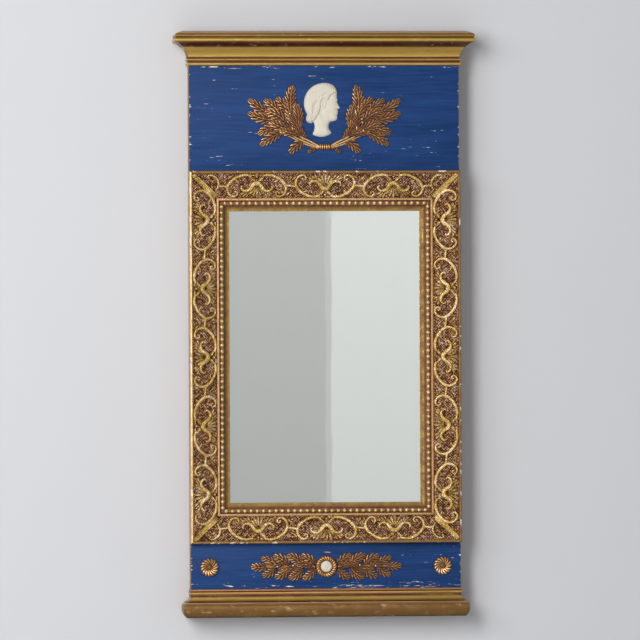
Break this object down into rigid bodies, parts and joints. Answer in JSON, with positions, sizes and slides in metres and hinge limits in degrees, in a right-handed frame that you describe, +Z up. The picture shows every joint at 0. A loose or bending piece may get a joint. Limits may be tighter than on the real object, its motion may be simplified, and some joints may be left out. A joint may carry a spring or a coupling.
{
  "type": "trumeau mirror",
  "caption": "Tall wall mirror with a moulded cornice and base, painted friezes with applied ornament and a mitred frame of pressed scrollwork and pearls.",
  "frame": {"origin": "centre of the backboard's rear face, which lies on the wall; it is level with the middle of the glass", "axes": "+X to the viewer's right, +Y into the wall, +Z up"},
  "size_m": [0.4218, 0.0637, 0.819],
  "materials": {
    "pine": "aged raw softwood, matt",
    "blue_paint": "brushed blue paint on wood, satin, chipped to white at the edges",
    "gilt_cornice": "worn gilding on wood, satin, dark in the grooves",
    "worn_base_gilding": "brown wood with patches of worn gilding",
    "gilt_frame": "worn gilding over red-brown bole",
    "gilt_composition": "pressed composition, gilded, red-brown ground showing",
    "bronzed_composition": "cast composition, bronzed brown with gold on the high parts",
    "plaster": "off-white cast plaster, matt",
    "mirror": "silvered mirror glass, clear with a few specks",
    "aged_board": "grey-brown aged board, matt",
    "iron": "dark blued iron",
    "brass": "dull brass"
  },
  "bodies": {
    "mirror": {"backboard": "aged_board", "backboard_nail_1": "iron", "backboard_nail_2": "iron", "backboard_nail_3": "iron", "backboard_nail_4": "iron", "backboard_nail_5": "iron", "backboard_nail_6": "iron", "backboard_nail_7": "iron", "backboard_nail_8": "iron", "base_front": "worn_base_gilding", "base_return_left": "worn_base_gilding", "base_return_right": "worn_base_gilding", "branch_tie": "bronzed_composition", "corner_leaf_bottom_left": "gilt_composition", "corner_leaf_bottom_right": "gilt_composition", "corner_leaf_top_left": "gilt_composition", "corner_leaf_top_right": "gilt_composition", "cornice_front": "gilt_cornice", "cornice_return_left": "gilt_cornice", "cornice_return_right": "gilt_cornice", "frame_moulding_bottom": "gilt_frame", "frame_moulding_left": "gilt_frame", "frame_moulding_right": "gilt_frame", "frame_moulding_top": "gilt_frame", "frieze_board_lower": "blue_paint", "frieze_board_upper": "blue_paint", "glass_backing_panel": "aged_board", "glass_batten_bottom": "pine", "glass_batten_left": "pine", "glass_batten_right": "pine", "glass_batten_top": "pine", "hanger_screw_1": "brass", "hanger_screw_2": "brass", "hanger_strap": "brass", "laurel_branch_left": "bronzed_composition", "laurel_branch_right": "bronzed_composition", "mirror_glass": "mirror", "pearl_string_bottom": "gilt_composition", "pearl_string_left": "gilt_composition", "pearl_string_right": "gilt_composition", "pearl_string_top": "gilt_composition", "profile_head": "plaster", "rail_above_glass": "pine", "rail_below_glass": "pine", "rail_bottom": "pine", "rail_top": "pine", "rosette_left": "bronzed_composition", "rosette_right": "bronzed_composition", "scroll_strip_bottom": "gilt_composition", "scroll_strip_left": "gilt_composition", "scroll_strip_right": "gilt_composition", "scroll_strip_top": "gilt_composition", "spray_button": "plaster", "spray_left": "bronzed_composition", "spray_right": "bronzed_composition", "spray_wreath": "bronzed_composition", "stile_left": "pine", "stile_right": "pine"},
    "ring": {"hanger_ring": "brass"}
  },
  "joints": [
    {"name": "hanger_ring_swing", "type": "hinge", "parent": "mirror", "child": "ring", "pos_m": [0, -0.0033, 0.4355], "axis": [1, 0, 0], "range_deg": [0, 180]}
  ]
}
